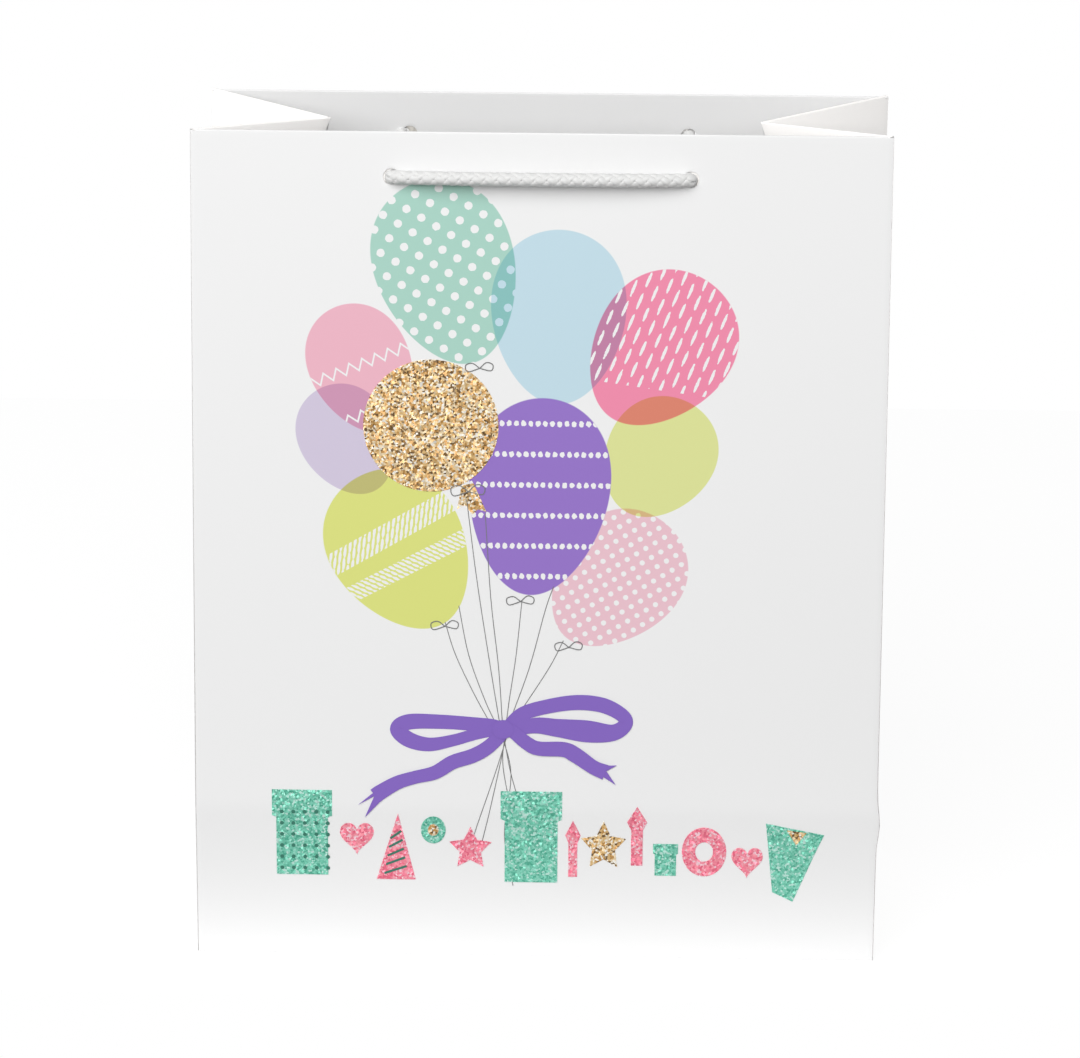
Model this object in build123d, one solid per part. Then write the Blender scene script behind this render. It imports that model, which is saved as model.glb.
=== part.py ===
from build123d import *
import os
from math import asin, cos, hypot, pi, sin, sqrt, tan

# A paper gift bag with a gusset each side and two braided cord handles.
# Frame: millimetres, +Z up, +X to the right, -Y is the printed front.
# Origin: the middle of the base, on the surface that the bag stands on.
#
# Below the base creases the bag is a shallow open box that keeps its shape.
# Above them the front and back panels swing on the crease, and each gusset is
# two halves that fold inwards on the panels' upright edges. A half is twisted,
# so it is two flat triangles that meet on a diagonal.

# ---- driving dimensions
bag_width = 260.0  # between the bag's upright folded edges
bag_height = 320.0  # up the front panel, from the base to the top fold
bag_depth = 120.0  # front to back at the base
mouth_depth = 70.4  # front to back at the top fold, as the bag stands
apex_inset = 8.0  # how far the gusset's lower point stands in from the base edge

paper = 0.3  # art paper, 250 g/m2
card_thickness = 0.5  # reinforcing card inside the top fold
board_thickness = 1.2  # grey board in the base

hem_depth = 40.0  # paper turned in at the top
card_depth = 34.0
hem_end_clearance = 20.0  # hem and card stop this far from the upright edges
gusset_hem_clearance = 8.0  # a gusset's hem starts this far from its fold
gusset_hem_tip = 3.0  # and stops this far from the gusset's middle crease
long_flap = 75.0  # front and back base flaps, glued one over the other
side_flap = 50.0  # base flaps of the gussets
lap_width = 12.0  # glue lap that joins the sheet at the back
lap_clearance = 5.0  # the lap starts this far from the upright edge
lap_end_clearance = 3.0
board_clearance = 3.0

fold_gap = 0.4  # between pieces that turn on a crease
edge_gap = 0.35  # between pieces that share a crease and don't move
middle_gap_top = 1.4  # from a gusset half to the bag's middle plane
middle_gap_bottom = 2.8

cord_diameter = 5.0
hole_clearance = 0.6  # all round the cord
hole_spacing = 111.0
hole_drop = 16.8  # hole centre below the top fold
bend_spare = 0.1  # straight cord between its two bends at a hole
knot_diameter = 12.0
knot_length = 13.0
knot_shoulder = 4.0
knot_end = 8.0  # loose end of cord below the knot

# Tails of a handle inside the bag, from the hole down to the knot.
# Each point is (across, up the panel, out of the panel) from its own hole.
LEFT_TAIL = ((1.3, -58.7, -9.6), (-2.0, -117.5, -15.9))
RIGHT_TAIL = ((1.4, -58.7, -9.9), (-0.9, -117.5, -15.9))

# ---- derived from the driving dimensions
half_width = bag_width / 2
half_depth = bag_depth / 2
crease_height = half_depth  # the base folds flat on creases half its depth up
panel_length = bag_height - crease_height
lean = asin((half_depth - mouth_depth / 2) / panel_length)
hole_x = hole_spacing / 2
hole_up = panel_length - hole_drop
hole_radius = cord_diameter / 2 + hole_clearance
bend_radius = 0.9 * cord_diameter
cord_outside = bend_radius  # cord's middle line in front of the panel's outer face
cord_inside = bend_radius + bend_spare  # and behind it

panel_plane = Plane(
    origin=(0, -half_depth, crease_height),
    x_dir=(1, 0, 0),
    z_dir=(0, -cos(lean), sin(lean)),
)
front_corner = Vector(half_width, -half_depth, 0)
back_corner = Vector(half_width, half_depth, 0)
crease_corner = Vector(half_width, -half_depth, crease_height)
apex = Vector(half_width - apex_inset, 0, sqrt(half_depth**2 - apex_inset**2))


def on_panel(across, up, out):
    """A point given on the front panel's outer face: across it, up it and out of it."""
    return panel_plane.from_local_coords(Vector(across, up, out))


def gusset_mouth_point():
    """Upper end of the gusset's middle crease, in the bag's middle plane.

    It is half the bag's depth from the panel's top corner and a panel's length
    from the apex, so it is where two circles in that plane meet.
    """
    top = on_panel(half_width, panel_length, 0)
    reach = sqrt(half_depth**2 - top.Y**2)
    dx = apex.X - top.X
    dz = apex.Z - top.Z
    apart = hypot(dx, dz)
    along = (reach**2 - panel_length**2 + apart**2) / (2 * apart)
    aside = sqrt(reach**2 - along**2)
    return Vector(top.X + (along * dx + aside * dz) / apart, 0, top.Z + (along * dz - aside * dx) / apart)


def inset_polygon(points, gap):
    """The polygon with every side moved in by gap; points run anticlockwise round its plane's normal."""
    normal = (points[1] - points[0]).cross(points[2] - points[1]).normalized()
    count = len(points)
    moved = []
    for i in range(count):
        before = (points[i] - points[i - 1]).normalized()
        after = (points[(i + 1) % count] - points[i]).normalized()
        half_turn = before.get_angle(after) / 2
        inward = (normal.cross(before) + normal.cross(after)).normalized()
        moved.append(points[i] + inward * (gap / cos(half_turn * pi / 180)))
    return moved


def plate(points, thickness, gap=0.0):
    """A flat plate: the points are one face, anticlockwise as seen from the side it faces."""
    corners = inset_polygon(points, gap) if gap else points
    face = Face(Wire.make_polygon(corners, close=True))
    normal = (points[1] - points[0]).cross(points[2] - points[1]).normalized()
    return extrude(face, amount=thickness, dir=-normal)


def block(low, high):
    """A box between two corners."""
    size = [high[i] - low[i] for i in range(3)]
    centre = [(high[i] + low[i]) / 2 for i in range(3)]
    return Pos(*centre) * Box(*size)


def panel_block(low, high):
    """A box given in the front panel's own plane: across, up and out."""
    return panel_plane.location * block(low, high)


def to_left(piece):
    return mirror(piece, about=Plane.YZ)


def to_back(piece):
    return Rot(0, 0, 180) * piece


# ---- the box below the crease
def lower_panel():
    """Front wall up to the base crease."""
    side = half_width - edge_gap
    return block((-side, -half_depth, 0), (side, paper - half_depth, crease_height - fold_gap / 2))


def gusset_base():
    """Right gusset's triangle on the base edge, leaning in to the apex."""
    return plate([front_corner, back_corner, apex], paper, edge_gap)


def gusset_corner():
    """Right gusset's triangle at the front upright edge, below the crease."""
    return plate([front_corner, apex, crease_corner], paper, edge_gap)


def front_flap(bottom):
    """Base flap of the front panel; the back one lies on it, a paper higher."""
    side = half_width - paper - edge_gap
    edge = half_depth - paper
    return block((-side, -edge, bottom), (side, long_flap - edge, bottom + paper))


def right_flap(bottom):
    """Base flap of the right gusset, its ends folded at 45 degrees."""
    outer = half_width - paper - edge_gap
    half = half_depth - paper - edge_gap
    top = bottom + paper
    corners = [(outer, -half), (outer, half), (outer - side_flap, half - side_flap)]
    corners.append((outer - side_flap, side_flap - half))
    return plate([Vector(x, y, top) for x, y in corners], paper)


def base_board(bottom):
    side = half_width - board_clearance
    edge = half_depth - board_clearance
    return block((-side, -edge, bottom), (side, edge, bottom + board_thickness))


def lower_lap():
    """Glue lap inside the back wall, at the right-hand edge."""
    outer = half_width - lap_clearance
    inside = half_depth - paper
    bottom = 2 * paper + board_thickness + lap_end_clearance
    top = crease_height - lap_end_clearance
    return block((outer - lap_width, inside - paper, bottom), (outer, inside, top))


# ---- the front panel and what it carries
def cord_holes(thickness_from, thickness_to):
    """Two round cutters through the panel, between two distances out of its face."""
    cutters = []
    for x in (-hole_x, hole_x):
        middle = (thickness_from + thickness_to) / 2
        place = panel_plane.location * Pos(x, hole_up, middle)
        cutters.append(place * Cylinder(hole_radius, thickness_to - thickness_from))
    return cutters


def upper_panel():
    side = half_width - paper - fold_gap
    sheet = panel_block((-side, fold_gap / 2, -paper), (side, panel_length, 0))
    return sheet - cord_holes(-2 * paper, paper)


def reinforcing_card():
    side = half_width - hem_end_clearance
    inner = -paper - card_thickness
    card = panel_block((-side, panel_length - card_depth, inner), (side, panel_length - paper, -paper))
    return card - cord_holes(inner - paper, 0)


def panel_hem():
    """Paper turned in over the card."""
    side = half_width - hem_end_clearance
    outer = -paper - card_thickness
    hem = panel_block((-side, panel_length - hem_depth, outer - paper), (side, panel_length, outer))
    return hem - cord_holes(outer - 2 * paper, outer + paper)


def back_lap():
    """Glue lap inside the panel, at the left; turned to the back it is at the right."""
    outer = lap_clearance - half_width
    low = (outer, lap_end_clearance, -2 * paper)
    high = (outer + lap_width, panel_length - hem_depth - lap_end_clearance, -paper)
    return panel_block(low, high)


# ---- handles
def handle_route():
    """Middle line of a handle: knot, up inside, out of one hole, across, in at the other, down."""
    points = []
    for across, up, out in reversed(LEFT_TAIL):
        points.append(on_panel(across - hole_x, hole_up + up, out))
    for x in (-hole_x, hole_x):
        ends = [on_panel(x, hole_up, -cord_inside), on_panel(x, hole_up, cord_outside)]
        points += ends if x < 0 else reversed(ends)
    for across, up, out in RIGHT_TAIL:
        points.append(on_panel(across + hole_x, hole_up + up, out))
    return points


def route_radii(points):
    """An arc for each corner: a tight bend at a hole, and as large as its runs allow elsewhere."""
    radii = []
    for before, point, after in zip(points, points[1:], points[2:]):
        run_in = point - before
        run_out = after - point
        half_turn = run_in.get_angle(run_out) / 2 * pi / 180
        widest = 0.45 * min(run_in.length, run_out.length) / tan(half_turn)
        radii.append(bend_radius if half_turn > pi / 6 else widest)
    return radii


def handle_cord():
    points = handle_route()
    radii = route_radii(points)
    line = FilletPolyline(*points, radius=radii)
    section = Plane(origin=line @ 0, z_dir=line % 0) * Circle(cord_diameter / 2)
    tube = sweep(section, path=line)
    expected = pi * cord_diameter**2 / 4 * line.length
    print("cord radii", [round(r, 1) for r in radii], "length", round(line.length, 1))
    print("cord volume", round(tube.volume, 1), "section x length", round(expected, 1))
    return tube


def knot(end, before):
    """Overhand knot as a barrel with sloping shoulders, and the cord's loose end below it."""
    down = (end - before).normalized()
    place = Plane(origin=end, z_dir=down)
    neck = cord_diameter / 2
    widest = knot_diameter / 2
    middle = knot_length - 2 * knot_shoulder
    top = Pos(0, 0, knot_shoulder / 2) * Cone(neck, widest, knot_shoulder)
    body = Pos(0, 0, knot_length / 2) * Cylinder(widest, middle)
    foot = Pos(0, 0, knot_length - knot_shoulder / 2) * Cone(widest, neck, knot_shoulder)
    tail = Pos(0, 0, knot_length + knot_end / 2) * Cylinder(neck, knot_end)
    return place.location * (top + body + foot + tail)


# ---- gussets above the crease
def gusset_corners():
    """Inner face of the right gusset's front half: fold bottom, fold top, mouth point, apex."""
    fold_low = on_panel(half_width - paper, fold_gap, -paper)
    fold_high = on_panel(half_width - paper, panel_length, -paper)
    mouth = gusset_mouth_point() - Vector(paper, middle_gap_top, 0)
    point = apex + Vector(-paper, -middle_gap_bottom, fold_gap)
    fold_low += (point - fold_low).normalized() * fold_gap
    fold_high += (mouth - fold_high).normalized() * fold_gap
    return fold_low, fold_high, mouth, point


def gusset_fold_side():
    """Triangle of the gusset half beside the panel: fold bottom, fold top, mouth point."""
    fold_low, fold_high, mouth, _ = gusset_corners()
    return plate([fold_low, fold_high, mouth], paper, edge_gap / 2)


def gusset_crease_side():
    """Triangle of the gusset half beside the middle crease: fold bottom, mouth point, apex."""
    fold_low, _, mouth, point = gusset_corners()
    return plate([fold_low, mouth, point], paper, edge_gap / 2)


def gusset_hem():
    """Paper turned in along the top of the gusset half."""
    fold_low, fold_high, mouth, _ = gusset_corners()
    across = (mouth - fold_high).normalized()
    share = hem_depth / (fold_high - fold_low).length
    near = fold_high + across * gusset_hem_clearance
    far = mouth - across * gusset_hem_tip
    outline = [near, near + (fold_low - fold_high) * share, far + (fold_low - mouth) * share, far]
    return plate(outline, paper)


# ---- every piece by name
pieces = {}


def add_front_and_back(name, piece):
    pieces["front_" + name] = piece
    pieces["back_" + name] = to_back(piece)


def add_four(name, piece):
    """The right gusset's front half, and its three mirror images."""
    left = to_left(piece)
    pieces["right_gusset_front_" + name] = piece
    pieces["left_gusset_front_" + name] = left
    pieces["left_gusset_back_" + name] = to_back(piece)
    pieces["right_gusset_back_" + name] = to_back(left)


add_front_and_back("lower_panel", lower_panel())
pieces["right_gusset_base"] = gusset_base()
pieces["left_gusset_base"] = to_back(gusset_base())
add_four("corner", gusset_corner())
pieces["front_base_flap"] = front_flap(0)
pieces["back_base_flap"] = to_back(front_flap(paper))
pieces["right_base_flap"] = right_flap(2 * paper)
pieces["left_base_flap"] = to_back(right_flap(2 * paper))
pieces["base_board"] = base_board(3 * paper)
pieces["lower_glue_lap"] = lower_lap()

add_front_and_back("panel", upper_panel())
add_front_and_back("reinforcing_card", reinforcing_card())
add_front_and_back("hem", panel_hem())
pieces["back_glue_lap"] = to_back(back_lap())

route = handle_route()
add_front_and_back("handle_cord", handle_cord())
left_knot = knot(route[0], route[1])
right_knot = knot(route[-1], route[-2])
pieces["front_left_knot"] = left_knot
pieces["front_right_knot"] = right_knot
pieces["back_left_knot"] = to_back(right_knot)
pieces["back_right_knot"] = to_back(left_knot)

add_four("fold_side", gusset_fold_side())
add_four("crease_side", gusset_crease_side())
add_four("hem", gusset_hem())

os.makedirs("parts", exist_ok=True)
for name, piece in pieces.items():
    piece.label = name
    export_step(piece, f"parts/{name}.step")
print(len(pieces), "pieces")
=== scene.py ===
import math

import bpy
import numpy as np
from bpy.props import FloatProperty, FloatVectorProperty, PointerProperty
from mathutils import Matrix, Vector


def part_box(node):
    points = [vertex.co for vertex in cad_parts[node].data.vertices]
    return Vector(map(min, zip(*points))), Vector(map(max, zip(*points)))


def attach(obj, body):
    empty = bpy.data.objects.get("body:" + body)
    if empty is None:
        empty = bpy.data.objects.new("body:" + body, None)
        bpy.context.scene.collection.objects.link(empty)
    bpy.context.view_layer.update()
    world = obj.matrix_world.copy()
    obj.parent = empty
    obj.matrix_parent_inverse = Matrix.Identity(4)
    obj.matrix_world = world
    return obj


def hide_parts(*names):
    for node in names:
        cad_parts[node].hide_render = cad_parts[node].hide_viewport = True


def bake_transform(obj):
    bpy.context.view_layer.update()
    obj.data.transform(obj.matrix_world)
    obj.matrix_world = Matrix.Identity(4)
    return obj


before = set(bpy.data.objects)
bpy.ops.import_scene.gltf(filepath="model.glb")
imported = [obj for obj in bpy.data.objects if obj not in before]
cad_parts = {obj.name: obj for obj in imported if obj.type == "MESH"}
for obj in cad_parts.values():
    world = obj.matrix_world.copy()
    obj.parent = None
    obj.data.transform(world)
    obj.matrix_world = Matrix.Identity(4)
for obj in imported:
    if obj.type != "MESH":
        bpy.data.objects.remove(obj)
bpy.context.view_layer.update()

bl_info = {
    "name": "Balloon gift bag",
    "version": (1, 0, 0),
    "blender": (4, 5, 0),
    "location": "3D View > Sidebar > Gift Bag",
    "description": "Paper, printing, handles and stage of a gusseted gift bag, on its frame",
    "category": "Object",
}

# ---------------------------------------------------------------- sizes, in mm
MM = 0.001
HALF_WIDTH = round(-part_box("left_gusset_base")[0].x / MM, 1)
HALF_DEPTH = round(-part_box("front_lower_panel")[0].y / MM, 1)
CREASE = 60.0  # height of the crease where the front and back start to lean in
SHEET = 320.0  # the sheet's height up its own face
LEAN = math.acos((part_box("front_panel")[1].z / MM - CREASE) / (SHEET - CREASE))
APEX = (122.0, 0.0, 59.5)  # where the gusset's creases meet, right side
MOUTH = (81.5, 0.0, 315.8)  # top of the gusset's middle crease, right side
HOLE_X, HOLE_S, HOLE_BLOCK = 55.5, 303.2, 7.0
BACK_SKEW = 1.5  # how far the back's top edge stands to the right of its foot
BULGE_UP, BULGE_TALL = 56.0, 7.0  # the right edge's bulge: its middle, and its half height
BULGE_START, BULGE_RUN = 95.0, 35.0  # and where it starts, and how far it grows outwards
CREASE_APART = 0.9  # how far the back gusset half's crease stands outside the front half's
CORNER_INSET = 0.4  # how far a gusset half's lap on the corner stands inside the foot
STRAND_WIDE, STRAND_THICK = 0.29, 0.145  # half sizes of a strand, in cord diameters
STRAND_OUT, STRAND_SWING = 0.355, 0.035  # its distance from the cord's middle, and its weave
KNOT_SWING = 3.4  # how far the cord's middle swings out in a knot
FLAT = 0.02  # height of printed or glued shapes over the paper

# The stage, in metres and radians
FLOOR_X, FLOOR_Y, FLOOR_DROP = (-3.0, 3.0), (-0.1, 0.7), 0.0003
FLOOR_GLOW = 0.9  # its own light, so that it loses its edge against the surround
KEY_PLACE, KEY_TARGET, KEY_SIZE = (-0.55, -2.15, 1.8), (0, 0, 0.16), 2.6
CAMERA_PLACE = (0.033937, -1.654969, 0.687564)
CAMERA_DOWN, CAMERA_LEFT, CAMERA_TIPPED = 0.31199, 0.020714, 0.0064101

# The handle's route on the front: across, up the sheet, out of it
ROUTE = [
    (-57.5, 185.7, -15.9), (-54.2, 244.5, -9.6), (-55.5, 303.2, -4.6), (-55.5, 303.2, 4.5),
    (55.5, 303.2, 4.5), (55.5, 303.2, -4.6), (56.9, 244.5, -9.9), (54.6, 185.7, -15.9),
]


def srgb(code):
    """Linear colour of an sRGB hex code: each channel through the sRGB curve, and full alpha."""
    c = np.array([int(code[i : i + 2], 16) for i in (1, 3, 5)]) / 255
    linear = np.where(c <= 0.04045, c / 12.92, ((c + 0.055) / 1.055) ** 2.4)
    return (*[float(v) for v in linear], 1.0)


def colour(name, about, code):
    """A colour property whose default is an sRGB hex code."""
    return FloatVectorProperty(
        name=name, description=about, default=srgb(code), size=4, min=0, max=1, subtype="COLOR"
    )


def size(name, about, default, low, high):
    """A length property in millimetres."""
    return FloatProperty(name=name, description=about, default=default, min=low, max=high)


class GIFTBAG_PG_paper(bpy.types.PropertyGroup):
    thickness: size("Paper thickness", "Thickness of the art paper, mm", 0.3, 0.1, 0.6)
    hem: size("Hem depth", "How far the top edge is turned down inside, mm", 40.0, 10.0, 60.0)
    hole: size("Hole radius", "Radius of the punched handle holes, mm", 3.1, 2.0, 5.0)
    softness: size("Crease softness", "Length over which the crease bends, mm", 1.2, 0.3, 6.0)
    lap: size("Crease lap", "How far each gusset half laps past its crease, mm", 4.0, 0.0, 8.0)
    bulge: size("Edge bulge", "How far the right edge stands out at the crease, mm", 1.1, 0.0, 3.0)
    # painted light: the uncoated face is set lighter than the coated face, in place of the light that comes
    # through the thin paper into the bag
    coated: colour("Coated face", "Printed side of the paper", "#DEDEDE")
    uncoated: colour("Uncoated face", "Inner side of the paper", "#F9F7F5")
    card: colour("Reinforcing card", "Card in the turned-over top edge", "#CFCBC4")
    board: colour("Base board", "Grey board in the bottom", "#B7B1A8")


class GIFTBAG_PG_handles(bpy.types.PropertyGroup):
    diameter: size("Cord diameter", "Diameter of the braided cord, mm", 5.0, 3.0, 7.0)
    pitch: size("Braid pitch", "Length of one turn of a strand, mm", 18.5, 8.0, 40.0)
    length: size("Cord length", "Length of each handle cord between its knots, mm", 358.0, 200.0, 500.0)
    knot: size("Knot height", "Height of the knot under each cord's end, mm", 12.0, 8.0, 16.0)
    tail: size("Loose end", "Length of cord left below each knot, mm", 8.0, 2.0, 10.0)
    yarn: colour("Cord", "Braided polypropylene yarn", "#F2F2F0")


class GIFTBAG_PG_artwork(bpy.types.PropertyGroup):
    ink_height: size("Ink height", "Height of the foil and ink strokes, mm", 0.06, 0.01, 0.3)
    glitter_height: size("Glitter height", "Height of the glued glitter, mm", 0.15, 0.05, 0.5)
    grain: size("Glitter grain", "Size of one glitter flake, mm", 0.75, 0.2, 3.0)
    string_width: size("String width", "Width of the drawn strings, mm", 0.3, 0.1, 1.0)
    ribbon: colour("Ribbon", "Purple ribbon bow", "#7A5CB2")
    pencil: colour("Strings", "Drawn strings and small bows", "#6E6E6E")
    mint: colour("Mint glitter", "Mint glitter shapes", "#6FC1A8")
    pink: colour("Pink glitter", "Pink glitter shapes", "#F0849B")
    gold: colour("Gold glitter", "Gold glitter shapes and balloon", "#DDB775")


class GIFTBAG_PG_stage(bpy.types.PropertyGroup):
    sky: FloatProperty(name="Sky", description="Strength of the white surround", default=1.0, min=0, max=4)
    room: FloatProperty(name="Room", description="Strength of the room's light", default=0.24, min=0, max=4)
    key: FloatProperty(
        name="Key light", description="Power of the soft key light", default=103.0, min=0, unit="POWER"
    )
    lens: FloatProperty(
        name="Lens", description="Camera lens, mm", default=149.27, min=20, max=300, unit="CAMERA"
    )
    floor: colour("Floor", "White table", "#595959")


# ---------------------------------------------------------------- shapes
def smooth(t):
    """0 below 0, 1 above 1, and 3t^2 - 2t^3 between."""
    t = np.clip(t, 0, 1)
    return t * t * (3 - 2 * t)


def unit(v):
    """Vectors divided by their lengths."""
    return v / np.maximum(np.linalg.norm(v, axis=-1, keepdims=True), 1e-12)


def length_along(points):
    """How far along its line each point is."""
    return np.concatenate([[0], np.cumsum(np.linalg.norm(np.diff(points, axis=0), axis=1))])


def leaning(x, s, n):
    """Point on a sheet at the front for mm across, up the sheet and out of it.

    The sheet stands straight up to the crease and leans back above it. The bend is the
    softplus of the height over the crease, soft * ln(1 + e^(h / soft)), so it has no corner.
    """
    paper = bpy.context.scene.giftbag_paper
    x, s, n = np.broadcast_arrays(np.asarray(x, float), np.asarray(s, float), np.asarray(n, float))
    soft = paper.softness
    above = soft * np.logaddexp(0, (s - CREASE) / soft)
    turn = LEAN / (1 + np.exp(-np.clip((s - CREASE) / soft, -50, 50)))
    y = -HALF_DEPTH + above * math.sin(LEAN) - n * np.cos(turn)
    z = s - above * (1 - math.cos(LEAN)) + n * np.sin(turn)
    return np.stack([x, y, z], -1)


def on_front(x, s, n):
    """The front: a leaning sheet whose right edge stands out beside the crease, by the bell
    curve e^(-h^2) of the height from it."""
    push = bpy.context.scene.giftbag_paper.bulge * np.exp(-(((np.asarray(s) - BULGE_UP) / BULGE_TALL) ** 2))
    return leaning(x + push * smooth((np.asarray(x) - BULGE_START) / BULGE_RUN), s, n)


def on_back(x, s, n):
    """The back: a leaning sheet turned half a turn about the upright axis, and skewed."""
    p = leaning(x, s, n)
    return p * (-1, -1, 1) + np.stack(np.broadcast_arrays(BACK_SKEW * np.asarray(s) / SHEET, 0.0, 0.0), -1)


def turned_over(along, radius, top=SHEET):
    """Height and offset of a sheet that turns over inwards at the top.

    Up the face to the turn, half a circle of that radius, and down again at twice the radius.
    """
    start = top - radius
    arc = np.clip((along - start) / radius, 0, math.pi)
    down = np.maximum(along - start - math.pi * radius, 0)
    s = np.minimum(along, start) + radius * np.sin(arc) - down
    return s, radius * (np.cos(arc) - 1)


def spaced(*stops):
    """Positions through stops of (place, number of steps to the next), without repeats."""
    runs = [np.linspace(a, b, n + 1)[:-1] for (a, n), (b, _) in zip(stops, stops[1:])]
    return np.concatenate(runs + [[stops[-1][0]]])


def grid(points, keep=None, wrap=False, start=False, end=False):
    """A grid of points, and how it closes: keep drops faces, wrap joins the last column to the
    first, and start and end draw the first or last row into one point."""
    return points, wrap, start, end, keep


def faces_of(grids):
    """Vertices and faces of some grids of points, faces towards columns x rows."""
    verts, polys, base = [], [], 0
    for points, wrap, start, end, keep in grids:
        rows, cols = points.shape[:2]
        index = np.arange(rows * cols).reshape(rows, cols) + base
        if wrap:
            index = np.hstack([index, index[:, :1]])
        quads = np.stack([index[:-1, :-1], index[:-1, 1:], index[1:, 1:], index[1:, :-1]], -1)
        inner = quads[1 if start else 0 : -1 if end else None]
        if keep is not None:
            inner = inner[keep[1 if start else 0 : len(keep) - (1 if end else 0)]]
        polys += inner.reshape(-1, 4).tolist()
        if start:
            polys += [[index[0, 0], b, a] for a, b in zip(index[1, :-1].tolist(), index[1, 1:].tolist())]
        if end:
            polys += [[a, b, index[-1, 0]] for a, b in zip(index[-2, :-1].tolist(), index[-2, 1:].tolist())]
        verts.append(points.reshape(-1, 3))
        base += rows * cols
    return np.concatenate(verts), polys


def piece(name, grids, materials, uv=None, thickness=0.0, outward=False, sharp=30):
    """A mesh object of some grids in mm, with a wall inwards or outwards from the grids."""
    verts, polys = faces_of(grids)
    used = np.unique([i for p in polys for i in p])
    place = np.full(len(verts), -1)
    place[used] = np.arange(len(used))
    mesh = bpy.data.meshes.new(name)
    mesh.from_pydata((verts[used] * MM).tolist(), [], [place[p].tolist() for p in polys])
    if uv is not None:
        corner = np.zeros(len(mesh.loops), np.int32)
        mesh.loops.foreach_get("vertex_index", corner)
        layer = mesh.uv_layers.new(name="sheet_mm")
        layer.data.foreach_set("uv", uv[used][corner].astype(np.float32).ravel())
    mesh.polygons.foreach_set("use_smooth", [not outward] * len(mesh.polygons))
    if not outward:
        mesh.set_sharp_from_angle(angle=math.radians(sharp))
    for material in materials:
        mesh.materials.append(material)
    mesh.validate()
    obj = bpy.data.objects.new(name, mesh)
    bpy.context.scene.collection.objects.link(obj)
    if thickness:
        wall = obj.modifiers.new("Paper thickness", "SOLIDIFY")
        wall.thickness = thickness * MM
        wall.offset = 1.0 if outward else -1.0
        wall.use_even_offset = not outward
        wall.material_offset = wall.material_offset_rim = len(materials) - 1
        if not outward:  # the faces keep their own shading up to the cut edges
            shading = obj.modifiers.new("Face shading", "WEIGHTED_NORMAL")
            shading.weight = 100
            shading.keep_sharp = True
    return obj


def artwork(name, grids, substance, height):
    """A printed or glued piece of that height on the front."""
    return printed(piece(name, grids, [substance], None, height, outward=True))


def printed(obj):
    """Bakes the transform of a piece on the printed front into its mesh; the piece is built already bent at
    the crease.
    """
    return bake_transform(obj)


# ---------------------------------------------------------------- materials
def add(tree, kind, inputs=None, **settings):
    """Adds a node with its settings, and links or fills its inputs by name or number."""
    node = tree.nodes.new("ShaderNode" + kind)
    for key, value in settings.items():
        setattr(node, key, value)
    for key, value in (inputs or {}).items():
        if isinstance(value, bpy.types.Node):
            value = value.outputs[0]
        if isinstance(value, bpy.types.NodeSocket):
            tree.links.new(value, node.inputs[key])
        else:
            node.inputs[key].default_value = value
    return node


def material(name, **shader):
    """A new material with one Principled shader, its node tree and that shader."""
    mat = bpy.data.materials.get(name)
    if mat:
        return mat, None, None
    mat = bpy.data.materials.new(name)
    mat.use_nodes = True
    tree = mat.node_tree
    tree.nodes.clear()
    bsdf = add(tree, "BsdfPrincipled", {key.replace("_", " "): value for key, value in shader.items()})
    add(tree, "OutputMaterial", {"Surface": bsdf})
    return mat, tree, bsdf


def grained(tree, bsdf, grain_mm, height_mm, strength=0.3):
    """Raises fibres or grain of that size by that height, from noise on object coordinates."""
    where = add(tree, "TexCoord").outputs["Object"]
    noise = add(tree, "TexNoise", {"Vector": where, "Scale": 1000 / grain_mm, "Detail": 3.0})
    bump = add(tree, "Bump", {"Height": noise, "Distance": height_mm * MM, "Strength": strength})
    tree.links.new(bump.outputs[0], bsdf.inputs["Normal"])


def coated_paper():
    """White art paper, clay coated and calendered: smooth and faintly glossy, with a soft sheen
    from the upper left and hardly any grain. Its colour is set greyer than the uncoated face's; that painted
    difference stands in for light through the paper."""
    mat, tree, bsdf = material(
        "Coated white art paper", Base_Color=bpy.context.scene.giftbag_paper.coated, Roughness=0.5, IOR=1.46
    )
    if tree:
        grained(tree, bsdf, 3.0, 0.02)  # fibres of 0.3 mm are too fine to show, so 3 mm mottling
    return mat


def uncoated_paper():
    """The uncoated back of the art paper: matt, slightly warm, with visible fibre tooth, and painted lighter
    than the coated face in place of the light that comes through the thin paper.
    """
    mat, tree, bsdf = material(
        "Uncoated white paper", Base_Color=bpy.context.scene.giftbag_paper.uncoated, Roughness=0.8, IOR=1.5
    )
    if tree:
        grained(tree, bsdf, 0.9, 0.03)
    return mat


def board(name, tone):
    """Pulp board, pressed from waste paper: matt, with coarse grey and brown flecks."""
    mat, tree, bsdf = material(name, Base_Color=tone, Roughness=0.9, IOR=1.5)
    if tree:
        where = add(tree, "TexCoord").outputs["Object"]
        # flecks of 1.4 mm
        fleck = add(tree, "TexNoise", {"Vector": where, "Scale": 1000 / 1.4, "Detail": 4.0})
        ramp = add(tree, "ValToRGB", {0: fleck})
        ramp.color_ramp.elements[0].position, ramp.color_ramp.elements[1].position = 0.35, 0.6
        ramp.color_ramp.elements[0].color = [c * 0.72 for c in tone[:3]] + [1.0]
        ramp.color_ramp.elements[1].color = tone
        tree.links.new(ramp.outputs[0], bsdf.inputs["Base Color"])
        grained(tree, bsdf, 0.6, 0.06)
    return mat


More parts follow.
